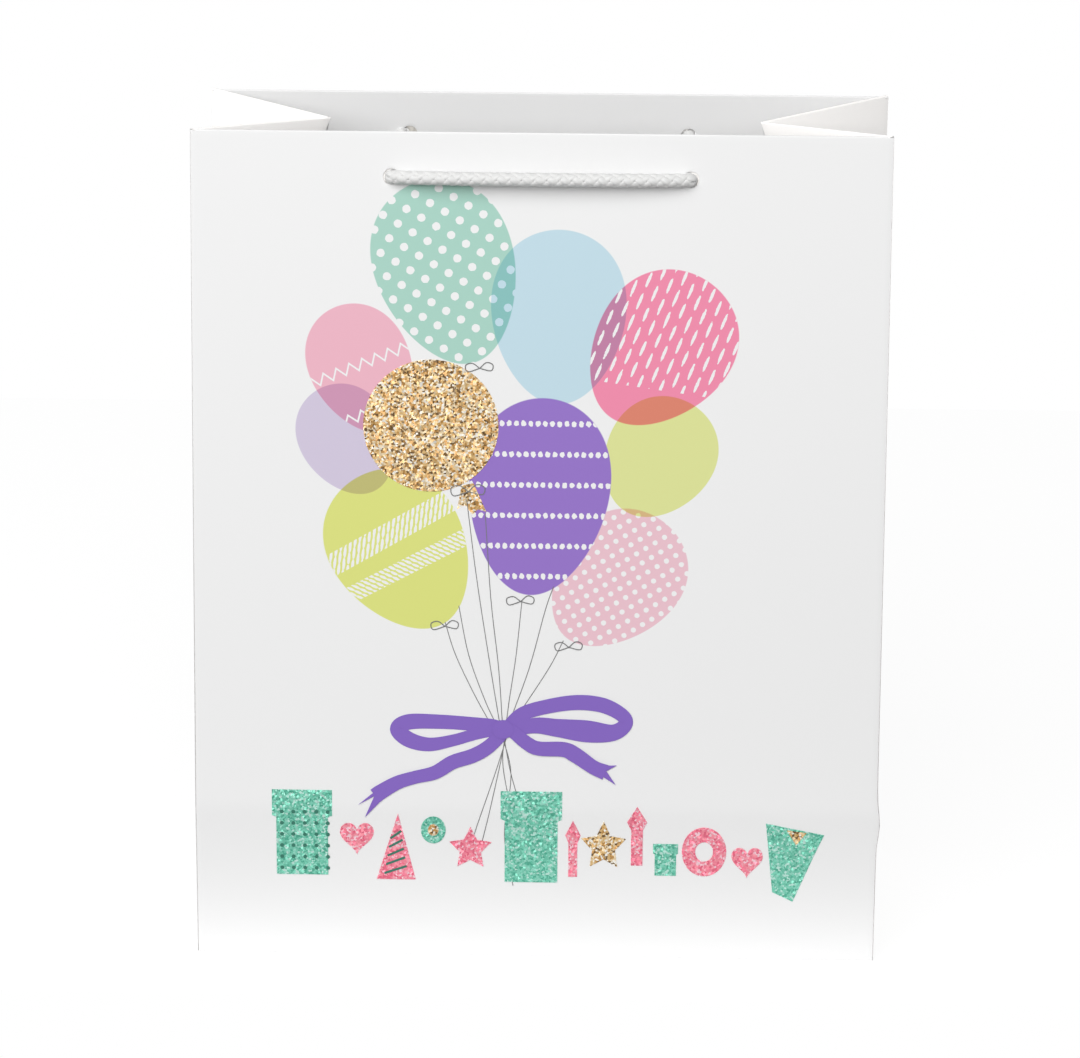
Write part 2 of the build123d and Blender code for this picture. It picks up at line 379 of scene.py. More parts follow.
def braided_yarn():
    """Braided polypropylene yarn, drawn and flat: soft white, satin, with fine fibres along
    each strand. Fibres of 0.05 mm are drawn 0.25 mm wide, as fine as shows."""
    mat, tree, bsdf = material(
        "Braided polypropylene", Base_Color=bpy.context.scene.giftbag_handles.yarn,
        Roughness=0.55, IOR=1.49, Sheen_Weight=0.15,
    )
    if tree:
        where = add(tree, "UVMap", uv_map="sheet_mm")
        lines = add(tree, "Mapping", {"Vector": where, "Scale": (0.25, 4.0, 1.0)})
        fibre = add(tree, "TexNoise", {"Vector": lines, "Scale": 1.0, "Detail": 2.0})
        bump = add(tree, "Bump", {"Height": fibre, "Distance": 0.12 * MM, "Strength": 0.6})
        tree.links.new(bump.outputs[0], bsdf.inputs["Normal"])
        tone = add(tree, "ValToRGB", {0: fibre})
        tone.color_ramp.elements[0].color = srgb("#BFBFBE")
        tone.color_ramp.elements[1].color = srgb("#E2E2E1")
        tree.links.new(tone.outputs[0], bsdf.inputs["Base Color"])
    return mat


def ink(name, tone):
    """Offset ink printed solid on coated paper: flat colour with the paper's own faint gloss."""
    return material(name, Base_Color=tone, Roughness=0.45, IOR=1.48)[0]


def glitter(name, tone, flake_tones_glints_and_shade):
    """Hot-stamped glitter: polyester flakes glued flat, each tipped its own way, so some flash
    white and some go dark. This is partly from the tipped normals and partly painted: the lightest flake
    tones are painted glints and the darkest are painted shade. Flakes of 0.2 mm are drawn at the grain's
    size, as fine as shows."""
    mat, tree, bsdf = material(name, Base_Color=tone, Metallic=0.25, Roughness=0.35)
    if tree:
        art = bpy.context.scene.giftbag_artwork
        where = add(tree, "TexCoord").outputs["Object"]
        cell = add(tree, "TexVoronoi", {"Vector": where, "Scale": 1000 / art.grain, "Randomness": 1.0})
        pick = add(tree, "SeparateColor", {0: cell.outputs["Color"]})
        # each flake's colour, from painted shade in the darkest tone to painted glints in the lightest
        ramp = add(tree, "ValToRGB", {0: pick.outputs[0]})
        ramp.color_ramp.interpolation = "CONSTANT"
        stops = ramp.color_ramp.elements
        stops.remove(stops[1])
        stops[0].color = srgb(flake_tones_glints_and_shade[0][1])
        for place, code in flake_tones_glints_and_shade[1:]:
            stops.new(place).color = srgb(code)
        tree.links.new(ramp.outputs[0], bsdf.inputs["Base Color"])
        tip = add(tree, "VectorMath", {0: cell.outputs["Color"], 1: (0.5, 0.5, 0.5)}, operation="SUBTRACT")
        tilt = add(tree, "VectorMath", {0: tip, "Scale": 0.7}, operation="SCALE")
        flat = add(tree, "NewGeometry").outputs["Normal"]
        normal = add(tree, "VectorMath", {0: flat, 1: tilt}, operation="ADD")
        tree.links.new(add(tree, "VectorMath", {0: normal}, operation="NORMALIZE").outputs[0],
                       bsdf.inputs["Normal"])
    return mat


def glitters():
    """The three glitters: mint, pink and gold, each with its flakes' tones, the darkest of them painted shade
    and the lightest painted glints.
    """
    art = bpy.context.scene.giftbag_artwork
    return {
        "mint": glitter("Mint glitter", art.mint, [
            (0.0, "#4FA68D"), (0.2, "#6BBDA4"), (0.5, "#7CCBB3"), (0.72, "#93D6C2"), (0.86, "#BFE8DC")]),
        "pink": glitter("Pink glitter", art.pink, [
            (0.0, "#E0667F"), (0.2, "#EE7F95"), (0.5, "#F4909F"), (0.72, "#F7A6B4"), (0.86, "#FBD3DC")]),
        "gold": glitter("Gold glitter", art.gold, [
            (0.0, "#705634"), (0.15, "#B98B4E"), (0.38, "#D9B47A"), (0.64, "#E8D2AC"), (0.86, "#FFFAEE")]),
    }


# Balloons printed in clear inks, over each other: name, middle, width and length, tilt in
# degrees, taper, colour, pattern. All in mm on the front sheet.
BALLOONS = [
    ("mint", (-34.8, 267.5), (52, 71), 17, 0.17, "#B2DFD0", "dots"),
    ("light blue", (7, 251), (50, 66), 0, 0.15, "#CDE9F5", None),
    ("hot pink", (45, 239), (51, 63), -36, 0.16, "#FF93B5", "dashes"),
    ("lime", (45, 198), (41, 48), -30, 0.12, "#EAEFA0", None),
    ("pink", (-66.4, 230.5), (38, 51), 24, 0.14, "#FBBFD0", "zigzag"),
    ("lavender", (-72, 203.5), (35, 44), 28, 0.12, "#DED3EA", None),
    ("rose", (29.5, 150.5), (46, 58), -40, 0.18, "#F9CDD9", "fine dots"),
    ("yellow", (-52, 161), (51, 65), 30, 0.17, "#E9EE86", "bands"),
    ("purple", (0, 182.4), (52.5, 76), -6, 0.16, "#8868B8", "beads"),
]


def maths(tree, operation, *values):
    """A Math node with its values or links in order."""
    return add(tree, "Math", dict(enumerate(values)), operation=operation)


def mixed(tree, factor, below, above, blend="MIX"):
    """A colour mixed into another where the factor is 1."""
    inputs = {0: factor, 6: below, 7: above}
    return add(tree, "Mix", inputs, data_type="RGBA", blend_type=blend).outputs[2]


def own_axes(tree, uv, middle, turn, scale=(1, 1)):
    """The sheet's mm seen from a mark's middle, turned as it is and in units of scale."""
    return add(tree, "SeparateXYZ", {0: add(tree, "Mapping", {
        "Vector": uv, "Location": (*middle, 0), "Rotation": (0, 0, math.radians(turn)),
        "Scale": (*scale, 1)}, vector_type="TEXTURE")})


def egg(tree, uv, middle, wide, tilt, taper):
    """1 inside an egg and 0 outside.

    In the egg's own axes, from -1 to 1, the width is divided by 1 + taper * height, so that it
    narrows to the neck, and a point is inside where its distance from the middle is under 1.
    """
    axes = own_axes(tree, uv, middle, tilt, (wide[0] / 2, wide[1] / 2))
    width = maths(tree, "MULTIPLY_ADD", axes.outputs[1], taper, 1.0)
    across = maths(tree, "DIVIDE", axes.outputs[0], width)
    point = add(tree, "CombineXYZ", {0: across, 1: axes.outputs[1]})
    far = add(tree, "VectorMath", {0: point}, operation="LENGTH").outputs["Value"]
    return add(tree, "MapRange", {0: far, 1: 0.995, 2: 1.005, 3: 1.0, 4: 0.0})


def marks(tree, uv, turn, cell, mark, stagger=0.0, wobble=0.0, origin=(0, 0)):
    """1 inside elliptical marks in a lattice: the point's place in its cell, less a half, in
    units of the mark's half size, has a length under 1. Each column is moved by stagger."""
    axes = own_axes(tree, uv, origin, turn, cell)
    column = maths(tree, "FLOOR", axes.outputs[0])
    shift = maths(tree, "MULTIPLY_ADD", column, stagger, axes.outputs[1])
    point = add(tree, "CombineXYZ", {0: axes.outputs[0], 1: shift})
    part = add(tree, "VectorMath", {0: point}, operation="FRACTION")
    from_middle = add(tree, "VectorMath", {0: part, 1: (0.5, 0.5, 0)}, operation="SUBTRACT")
    scaled = add(tree, "VectorMath", {
        0: from_middle, 1: (2 * cell[0] / mark[0], 2 * cell[1] / mark[1], 0)}, operation="MULTIPLY")
    far = add(tree, "VectorMath", {0: scaled}, operation="LENGTH").outputs["Value"]
    rough = add(tree, "TexNoise", {"Vector": uv, "Scale": 0.9, "Detail": 1.0})
    reach = maths(tree, "MULTIPLY_ADD", rough, wobble, 1 - wobble / 2)
    return maths(tree, "LESS_THAN", far, reach)


def line(tree, uv, middle, turn, period, swing, width):
    """1 inside a zigzag line: the height less a triangle wave of that period and swing is under
    half the width either way. A swing of 0 is a straight line."""
    axes = own_axes(tree, uv, middle, turn)
    wave = maths(tree, "PINGPONG", axes.outputs[0], period / 2)
    level = maths(tree, "MULTIPLY_ADD", wave, -2 * swing / period, axes.outputs[1])
    return maths(tree, "LESS_THAN", maths(tree, "ABSOLUTE", level), width / 2)


def either(tree, *masks):
    """1 where any mask is."""
    total = masks[0]
    for mask in masks[1:]:
        total = maths(tree, "MAXIMUM", total, mask)
    return total


def both(tree, a, b):
    """1 where both masks are."""
    return maths(tree, "MULTIPLY", a, b)


def pattern(tree, uv, kind):
    """The unprinted white marks inside a balloon, by kind."""
    if kind == "dots":  # 3 mm dots, 6.4 mm apart, in turned rows
        return marks(tree, uv, -30, (6.4, 6.4), (3.1, 3.1), 0, 0.25)
    if kind == "fine dots":
        return marks(tree, uv, 32, (4.1, 4.1), (2.0, 2.0), 0, 0.25)
    if kind == "dashes":  # 6 mm dashes in staggered columns
        strokes = marks(tree, uv, -22, (4.0, 8.6), (1.15, 6.4), 0.43, 0.7)
        return both(tree, strokes, line(tree, uv, (46, 254), -8, 10, 0, 60))
    if kind == "zigzag":
        return either(tree, line(tree, uv, (-67.5, 230), 22, 5.2, 3.9, 1.1),
                      line(tree, uv, (-68, 210.5), 22, 5.2, 3.6, 1.1),
                      line(tree, uv, (-64, 203), 22, 5.2, 3.6, 1.1))
    if kind == "bands":
        upper = line(tree, uv, (-54.5, 168.5), 30, 10, 0, 8.6)
        lower = line(tree, uv, (-47.5, 156), 28, 10, 0, 6.4)
        hatch = marks(tree, uv, -6, (1.7, 4.6), (1.1, 4.9), 0.5, 0.5)
        dash = marks(tree, uv, 66, (1.55, 3.1), (1.0, 3.2), 0.5, 0.5)
        return either(tree, both(tree, upper, hatch), both(tree, lower, dash))
    # rows of beads of uneven size, 12 mm apart
    return marks(tree, uv, 5, (2.7, 11.8), (1.9, 2.2), 0.02, 0.9, (0, 4.7))


def printed_paper():
    """The coated art paper printed with clear offset inks, one over another, so two balloons
    that cross multiply their colours; only the purple is opaque."""
    paper = bpy.context.scene.giftbag_paper
    mat, tree, bsdf = material("Coated white art paper, printed", Roughness=0.5, IOR=1.46)
    if not tree:
        return mat
    uv = add(tree, "UVMap", uv_map="sheet_mm").outputs[0]
    face = add(tree, "RGB")
    face.outputs[0].default_value = paper.coated
    total, foils = face.outputs[0], []
    for name, middle, wide, tilt, taper, code, kind in BALLOONS:
        inside = egg(tree, uv, middle, wide, tilt, taper)
        tone = srgb(code)
        if kind and "dots" in kind:  # dots are left out of the ink, so they show what is under it
            tone = mixed(tree, pattern(tree, uv, kind), tone, (1, 1, 1, 1))
        elif kind:  # the other marks are white, over everything
            foils.append(both(tree, inside, pattern(tree, uv, kind)))
        total = mixed(tree, inside, total, tone, "MIX" if name == "purple" else "MULTIPLY")
    total = mixed(tree, either(tree, *foils), total, face.outputs[0])
    tree.links.new(total, bsdf.inputs["Base Color"])
    grained(tree, bsdf, 3.0, 0.02)
    return mat


# ---------------------------------------------------------------- paper pieces
def holed_sheet(place, edge_in=4.0):
    """Grid of a whole sheet, face and turned-over hem, with two round holes through both.

    Columns run across and rows along the sheet, up the face and down the hem. Around each hole
    is a block of 12 by 12 cells; its rings of cells, counted from the middle, go from a circle
    at the third ring to the block's square at the sixth, and the cells inside are dropped.
    """
    paper = bpy.context.scene.giftbag_paper
    radius = paper.thickness + 0.25  # half of the paper, card and paper again
    turn = SHEET - radius
    end = turn + math.pi * radius
    hem_hole = end + (turn - HOLE_S)
    b = HOLE_BLOCK
    x = spaced((-HALF_WIDTH, 3), (-HALF_WIDTH + 6, 14), (-HOLE_X - b, 12), (-HOLE_X + b, 20),
               (HOLE_X - b, 12), (HOLE_X + b, 14), (HALF_WIDTH - 6, 3), (HALF_WIDTH, 0))
    along = spaced((0, 10), (50, 20), (70, 44), (HOLE_S - b, 12), (HOLE_S + b, 4), (turn, 6), (end, 3),
                   (hem_hole - b, 12), (hem_hole + b, 4), (end + paper.hem, 0))
    xx, ll = np.meshgrid(x, along)
    keep = np.ones((len(along) - 1, len(x) - 1), bool)
    for centre in (HOLE_S, hem_hole):
        for side in (-HOLE_X, HOLE_X):
            col = int(np.argmin(abs(x - side)))
            row = int(np.argmin(abs(along - centre)))
            block = np.s_[row - 6 : row + 7, col - 6 : col + 7]
            i, j = np.meshgrid(np.arange(-6, 7), np.arange(-6, 7))
            ring = np.maximum(np.maximum(abs(i), abs(j)), 1)
            step = np.clip((ring - 3) / 3, 0, 1)
            round_ = paper.hole / np.maximum(np.hypot(i, j), 1e-9)
            grow = (1 - step) * round_ + step * b / ring
            xx[block] = side + i * grow
            ll[block] = centre + j * grow
            keep[row - 3 : row + 3, col - 3 : col + 3] = False
    s, n = turned_over(ll, radius)
    # the hem is cut short of the fold edges, so that it does not run into the gussets' hems
    pull = 1 - edge_in / HALF_WIDTH * smooth((ll - end + 0.4) / 1.4)
    points = place(xx * pull, s, n)
    return points, keep, np.stack([xx, ll], -1).reshape(-1, 2)


class GIFTBAG_OT_sheets(bpy.types.Operator):
    """Makes the front and back sheets, each one sheet from the base over its top edge"""

    bl_idname = "giftbag.sheets"
    bl_label = "Front and back sheets"

    def execute(self, context):
        thick = context.scene.giftbag_paper.thickness
        points, keep, uv = holed_sheet(on_front)
        front = piece("front_sheet", [grid(points, keep)],
                      [printed_paper(), uncoated_paper()], uv, thick)
        printed(front)
        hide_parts("front_lower_panel", "front_panel", "front_hem")
        points, keep, uv = holed_sheet(on_back)
        back = piece("back_sheet", [grid(points, keep)],
                     [coated_paper(), uncoated_paper()], uv, thick)
        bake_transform(back)
        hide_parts("back_lower_panel", "back_panel", "back_hem")
        return {"FINISHED"}


def gusset_half(side, face):
    """Grid of one half of a side: flat between the panel's fold edge and the middle crease.

    A point is fold edge + u * (crease - fold edge) at its height, offset along the plane's normal
    where the top turns over. Past the crease the sheet laps on along the other half, and below
    the lower crease it laps down along the corner. side is 1 on the right; face is -1 at the front.
    """
    paper = bpy.context.scene.giftbag_paper
    radius = paper.thickness / 2 + 0.2
    turn = SHEET - radius
    along = spaced((CREASE - paper.lap, 3), (CREASE, 2), (CREASE + 4, 40), (turn, 6),
                   (turn + math.pi * radius, 8), (turn + math.pi * radius + paper.hem, 0))
    s, n = turned_over(along, radius)
    low = np.maximum(s, CREASE)
    out = on_front if face < 0 else on_back
    across = side * HALF_WIDTH * (1 if face < 0 else -1)
    edge = out(across, low, 0.0)
    other = (on_back if face < 0 else on_front)(-across, low, 0.0)
    rise = ((low - CREASE) / (SHEET - CREASE))[:, None]
    crease = np.array(APEX) * (1 - rise) + np.array(MOUTH) * rise
    crease = crease * (side, 1, 1) + (BACK_SKEW / 2 * low[:, None] / SHEET) * (1, 0, 0)
    if face > 0:
        # faded in over the lowest eighth, so that the halves meet at the foot
        crease = crease + np.minimum(8 * rise, 1) * (CREASE_APART * side, 0, 0)
    reach = crease - edge
    normal = unit(np.cross(reach, edge[-1] - edge[0] + (0, 0, 1)))
    normal *= np.sign(normal[:, :1]) * side
    u = np.linspace(0, 1, 16)
    hem = smooth((along - turn - math.pi * radius + 0.5) / 1.5)[:, None]
    uu = u[None] * (1 - 0.1 * hem) + 0.07 * hem  # the hem is cut short at both ends
    flat = edge[:, None] + uu[..., None] * reach[:, None]
    lap = np.linspace(0, paper.lap, 4)[1:]
    onward = unit(other - crease)
    past = crease[:, None] + lap[None, :, None] * onward[:, None]
    points = np.concatenate([flat, past], 1) + n[:, None, None] * normal[:, None]
    # below the crease, down along the corner, on its inner side
    drop = np.maximum(CREASE - along, 0)[:, None, None]
    foot = edge[0] * (1, 1, 0)
    down = unit(foot - points)
    inner = -side * np.array([1, 0, 0]) * CORNER_INSET
    points = points + drop * down + smooth(drop / 1.0) * inner
    keep = np.ones((len(along) - 1, points.shape[1] - 1), bool)
    keep[along[:-1] >= turn - 1e-6, len(u) - 1 :] = False
    if side * face > 0:
        points = points[:, ::-1]
        keep = keep[:, ::-1]
    return points[:, ::-1], keep[:, ::-1]


def lower_gusset(side):
    """Grid of the folded foot of a side: straight lines from the outline of the front corner,
    the bottom edge and the back corner in to the point where the creases meet."""
    x = side * HALF_WIDTH
    height = np.linspace(CREASE, 0, 16)
    depth = np.linspace(-HALF_DEPTH, HALF_DEPTH, 24)[1:-1]
    bottom = np.stack(np.broadcast_arrays(x, depth, 0.0), -1)
    outline = np.concatenate([on_front(x, height, 0), bottom, on_back(-x, height[::-1], 0)])
    v = np.linspace(0, 1, 18)[:, None, None]
    points = outline[None] * (1 - v) + np.array(APEX) * (side, 1, 1) * v
    return points if side < 0 else points[:, ::-1]


class GIFTBAG_OT_gussets(bpy.types.Operator):
    """Makes the two folded sides: a foot and two halves each, with their top edges turned in"""

    bl_idname = "giftbag.gussets"
    bl_label = "Gussets"

    def execute(self, context):
        thick = context.scene.giftbag_paper.thickness
        papers = [coated_paper(), uncoated_paper()]
        for word, side in (("left", -1), ("right", 1)):
            foot = piece(f"{word}_gusset_foot", [grid(lower_gusset(side), end=True)],
                         papers, None, thick, sharp=4)
            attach(foot, "root")
            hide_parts(f"{word}_gusset_base", f"{word}_gusset_front_corner",
                        f"{word}_gusset_back_corner")
            for name, face in (("front", -1), ("back", 1)):
                points, keep = gusset_half(side, face)
                half = piece(f"{word}_gusset_{name}_half", [grid(points, keep)],
                             papers, None, thick, sharp=20)
                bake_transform(half)
                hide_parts(*[f"{word}_gusset_{name}_{part}"
                                    for part in ("fold_side", "crease_side", "hem")])
        return {"FINISHED"}


class GIFTBAG_OT_boards(bpy.types.Operator):
    """Gives the base flaps, base board, glue laps and reinforcing cards their papers and boards"""

    bl_idname = "giftbag.boards"
    bl_label = "Base, laps and cards"

    def execute(self, context):
        paper = context.scene.giftbag_paper
        grey = board("Grey pulp board", paper.board)
        card = board("White lined chipboard", paper.card)
        for name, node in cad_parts.items():
            if name == "base_board":
                chosen = grey
            elif name.endswith("_card"):
                chosen = card
            elif name.endswith("_lap"):
                chosen = uncoated_paper()
            else:
                chosen = coated_paper()
            if not node.hide_render:
                for number in range(len(node.material_slots)):
                    node.material_slots[number].material = chosen
        return {"FINISHED"}


# ---------------------------------------------------------------- handles
def braid(path, aside, diameter, pitch):
    """Grids of eight strands braided round a path, in mm.

    Four strands turn one way and four the other, once in a pitch. Each one's distance from the
    path swings with cos(8 pi * length / pitch), one way's up where the other's is down, so each
    goes over one and under the next. A strand's section is an ellipse, wide across its own run.
    """
    run = length_along(path)
    tangent = unit(np.gradient(path, axis=0))
    first = unit(aside - (aside * tangent).sum(-1, keepdims=True) * tangent)
    second = np.cross(tangent, first)
    wide, thick = STRAND_WIDE * diameter, STRAND_THICK * diameter
    turn = 2 * math.pi * run / pitch
    around = np.linspace(0, 2 * math.pi, 9)[:-1]
    grids, uvs = [], []
    for k in range(8):
        way = 1 if k % 2 else -1
        angle = way * turn + k // 2 * math.pi / 2
        out = np.cos(angle)[:, None] * first + np.sin(angle)[:, None] * second
        far = STRAND_OUT * diameter + way * STRAND_SWING * diameter * np.cos(4 * turn)
        centre = path + far[:, None] * out
        along = unit(np.gradient(centre, axis=0))
        across = unit(np.cross(along, out))
        ring = (centre[:, None] + thick * np.cos(around)[:, None] * out[:, None]
                + wide * np.sin(around)[:, None] * across[:, None])
        caps = [np.repeat(centre[i][None, None], 8, 1) for i in (0, -1)]
        ring = np.concatenate([caps[0], ring, caps[1]])[:, ::-1]
        length = np.concatenate([run[:1], run, run[-1:]]) + 40 * k  # so no two strands' fibres match
        grids.append(grid(ring, wrap=True, start=True, end=True))
        uvs.append(np.stack(np.broadcast_arrays(length[:, None], around[None] * 1.2), -1).reshape(-1, 2))
    return grids, np.concatenate(uvs)


def route_points(name, turned):
    """The handle's control points, and points along the NURBS spline that they pull, in mm."""
    x, s, n = np.array(ROUTE).T
    y = -HALF_DEPTH + (s - CREASE) * math.sin(LEAN) - n * math.cos(LEAN)
    z = CREASE + (s - CREASE) * math.cos(LEAN) + n * math.sin(LEAN)
    points = np.stack([x, y, z], -1) * ((-1, -1, 1) if turned else (1, 1, 1))
    curve = bpy.data.curves.new(name + "_route", "CURVE")
    curve.dimensions = "3D"
    curve.resolution_u = 24
    spline = curve.splines.new("NURBS")
    spline.points.add(len(points) - 1)
    spline.points.foreach_set("co", np.c_[points * MM, np.ones(len(points))].ravel())
    spline.order_u = 3
    spline.use_endpoint_u = True
    holder = bpy.data.objects.new(name + "_route", curve)
    mesh = bpy.data.meshes.new_from_object(holder)
    read = np.zeros(len(mesh.vertices) * 3)
    mesh.vertices.foreach_get("co", read)
    bpy.data.meshes.remove(mesh)
    bpy.data.objects.remove(holder)
    bpy.data.curves.remove(curve)
    return points, read.reshape(-1, 3) / MM


def evenly(points, step):
    """The same line with its points one step apart."""
    run = length_along(points)
    place = np.linspace(0, run[-1], int(run[-1] / step) + 1)
    return np.stack([np.interp(place, run, points[:, k]) for k in range(3)], -1)


def knot_path(end, away, height, tail):
    """Line of an overhand knot pulled tight under a cord's end, and its loose end.

    Down the cord's own line, with a swing out that goes just over twice round while it sinks
    through the knot's height, and straight on below it.
    """
    t = np.linspace(0, 1, 120)[:, None]
    side = unit(np.cross(away, (0, 1, 0)))
    other = np.cross(away, side)
    inside = np.clip(t * (height + tail + 1) / height, 0, 1)
    swing = KNOT_SWING * smooth(inside / 0.22) * smooth((1 - inside) / 0.22)
    angle = 4.2 * math.pi * inside
    out = np.cos(angle) * side + np.sin(angle) * other
    return end + away * t * (height + tail + 1) + out * swing, out


class GIFTBAG_OT_handles(bpy.types.Operator):
    """Makes the two braided handles, and the knots that hold their four ends inside"""

    bl_idname = "giftbag.handles"
    bl_label = "Handles"

    def execute(self, context):
        cord = context.scene.giftbag_handles
        yarn = braided_yarn()
        for name, turned in (("front", False), ("back", True)):
            body = name + "_panel"
            control, read = route_points(name, turned)
            path = evenly(read, 0.85)
            aside = np.array([-0.7, 0.0, 0.7]) * ((-1, -1, 1) if turned else (1, 1, 1))
            grids, uv = braid(path, np.broadcast_to(aside, path.shape), cord.diameter, cord.pitch)
            handle = piece(f"{name}_handle", grids, [yarn], uv, sharp=180)
            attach(handle, body)
            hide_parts(f"{name}_handle_cord")
            words = ("right", "left") if turned else ("left", "right")
            for word, end, before in ((words[0], 0, 1), (words[1], -1, -2)):
                away = unit(control[end] - control[before])
                run, out = knot_path(control[end], away, cord.knot, cord.tail)
                grids, uv = braid(run, out, cord.diameter * 0.94, cord.pitch)  # pulled tight, so thinner
                tied = piece(f"{name}_{word}_tied_knot", grids, [yarn], uv, sharp=180)
                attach(tied, body)
                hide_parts(f"{name}_{word}_knot")
        return {"FINISHED"}


# ---------------------------------------------------------------- drawn strokes and glitter
def flowing(points, steps=10):
    """A smooth line through given points: the Catmull-Rom curve of each four in turn."""
    p = np.array(points, float)
    p = np.concatenate([2 * p[:1] - p[1:2], p, 2 * p[-1:] - p[-2:-1]])
    a, b, c, d = (p[i : len(p) - 3 + i, None] for i in range(4))
    t = np.linspace(0, 1, steps + 1)[:-1][None, :, None]
    q = 0.5 * (2 * b + (c - a) * t + (2 * a - 5 * b + 4 * c - d) * t**2 + (3 * b - a - 3 * c + d) * t**3)
    return np.concatenate([q.reshape(-1, p.shape[1]), p[-2:-1]])


def stroke(points, width, height, steps=10):
    """Grid of a drawn stroke on the front: its line moved half its width to each side.

    Each point may carry its own width as a third number, in place of the one width.
    """
    run = flowing(points, steps)
    wide = run[:, 2:3] if run.shape[1] > 2 else np.full((len(run), 1), width)
    run = run[:, :2]
    way = unit(np.gradient(run, axis=0))
    right = np.stack([way[:, 1], -way[:, 0]], -1)
    across = np.linspace(-0.5, 0.5, 3)[None, :, None]
    flat = run[:, None] + across * wide[:, None] * right[:, None]
    rise = height + np.linspace(0, 0.035, len(run))[:, None]  # a loop's end lies over its start
    return grid(on_front(flat[..., 0], flat[..., 1], rise))


def patch(outline, height, hollow=0.0, rows=5):
    """Grid of a flat shape on the front: rings from its outline to its middle, or to a hole."""
    outline = np.array(outline, float)
    middle = outline.mean(0)
    scale = np.linspace(1, hollow, rows)[:, None, None]
    flat = middle + (outline - middle) * scale
    return grid(on_front(flat[..., 0], flat[..., 1], height), wrap=True, end=hollow == 0)


def corners(points, count=96):
    """An outline through corners in turn, with its points evenly spaced."""
    p = np.array([*points, points[0]], float)
    run = length_along(p)
    place = np.unique(np.round(np.union1d(np.linspace(0, run[-1], count + 1)[:-1], run[:-1]), 3))
    return np.stack([np.interp(place, run, p[:, k]) for k in range(2)], -1)


ANGLES = np.linspace(0, 2 * math.pi, 97)[:-1]
OUTLINES = {  # in a unit square, anticlockwise
    "disc": np.stack([np.cos(ANGLES), np.sin(ANGLES)], -1) / 2 + 0.5,
    "heart": np.stack([np.sin(-ANGLES) ** 3 / 2 + 0.5, (13 * np.cos(ANGLES) - 5 * np.cos(2 * ANGLES)
                      - 2 * np.cos(3 * ANGLES) - np.cos(4 * ANGLES)) / 29 + 0.58], -1),
    "star": corners([(0.5 + r * math.cos(a), 0.47 + r * math.sin(a)) for r, a in (
        (0.53 if k % 2 == 0 else 0.27, math.pi / 2 + k * math.pi / 5) for k in range(10))]),
    "parcel": corners([(0.07, 0), (0.93, 0), (0.93, 0.7), (1, 0.7), (1, 1), (0, 1), (0, 0.7),
                       (0.07, 0.7)]),
    "hat": corners([(0, 0), (1, 0), (0.55, 1)]),
    "candle": corners([(0.24, 0), (0.76, 0), (0.76, 0.6), (0.95, 0.74), (0.5, 1), (0.05, 0.74),
                       (0.24, 0.6)]),
    "diamond": corners([(0.5, 0), (1, 0.5), (0.5, 1), (0, 0.5)]),
    "pennant": corners([(0.15, 0.12), (0.5, 0), (1, 0.86), (0.02, 1)]),
}
# Party shapes along the foot: outline, left, right, bottom, top in mm, glitter, hole in parts of 1
PARTY = [
    ("parcel", -101, -78, 32.5, 67, "mint", 0), ("heart", -75, -62, 41, 54, "pink", 0),
    ("hat", -61, -46, 31, 58, "pink", 0), ("disc", -44, -34.5, 46, 57, "mint", 0.45),
    ("star", -33, -17, 36, 53, "pink", 0), ("parcel", -13.5, 10, 30.5, 67.5, "mint", 0),
    ("candle", 11, 17.5, 33, 56, "pink", 0), ("star", 17.5, 34.5, 36.5, 56, "gold", 0),
    ("candle", 34.5, 43, 38, 62, "pink", 0), ("parcel", 45, 54.5, 34, 47, "mint", 0),
    ("disc", 56, 73, 34, 54, "pink", 0.4), ("heart", 75, 87, 33.5, 46, "pink", 0),
    ("pennant", 87.5, 110, 24, 56, "mint", 0),
]
# Ribbon bow: points with the ribbon's width at each, mm
BOW = [
    [(-14, 91.4, 4.1), (-15.7, 93, 5.4), (-25.9, 94, 5.4), (-37.2, 94.6, 5.6), (-48.5, 94.4, 6.1),
     (-52.8, 91.5, 6.1), (-48.6, 87.4, 6.1), (-40.9, 85.6, 5.4), (-31.9, 87.3, 4.6),
     (-22.8, 90, 4.4), (-14, 91.8, 4.1)],
    [(-12, 92, 4.4), (-5.6, 98, 5.4), (4.2, 101.2, 5.6), (15.4, 102.9, 5.9), (25.2, 101.9, 5.9),
     (32.4, 98.2, 5.4), (33.8, 94.6, 5.4), (29, 91.2, 6.5), (19.3, 91.6, 8.6), (8, 92.8, 7.1),
     (-1, 93.6, 6.1), (-12, 91, 4.4)],
    [(-12, 91.4, 4.9), (-18.3, 85, 5.4), (-24.3, 81.4, 5.6), (-31.8, 78.8, 5.6), (-38.6, 74.6, 5.4),
     (-46.2, 72.6, 5.1), (-52.9, 70.4, 5.4), (-59, 66.8, 5.9), (-61.4, 65, 6.1)],
    [(-10, 92, 4.9), (-3.2, 86.4, 5.4), (1.3, 84.6, 5.6), (10.3, 84.4, 5.9), (14.9, 82.3, 6.1),
     (21.7, 77.6, 5.6), (26.4, 75.6, 6.1)],
]
# Forked ends of the ribbon, a corner at a time
FORKS = [[(-59.4, 68.6), (-68, 61.4), (-61.3, 65.2)], [(-61.6, 65.4), (-65.4, 56.4), (-58, 64.4)],
         [(25.6, 78.2), (26.4, 75.8), (30.7, 78.4)], [(24.6, 74.4), (30.4, 70.6), (26.8, 76)]]
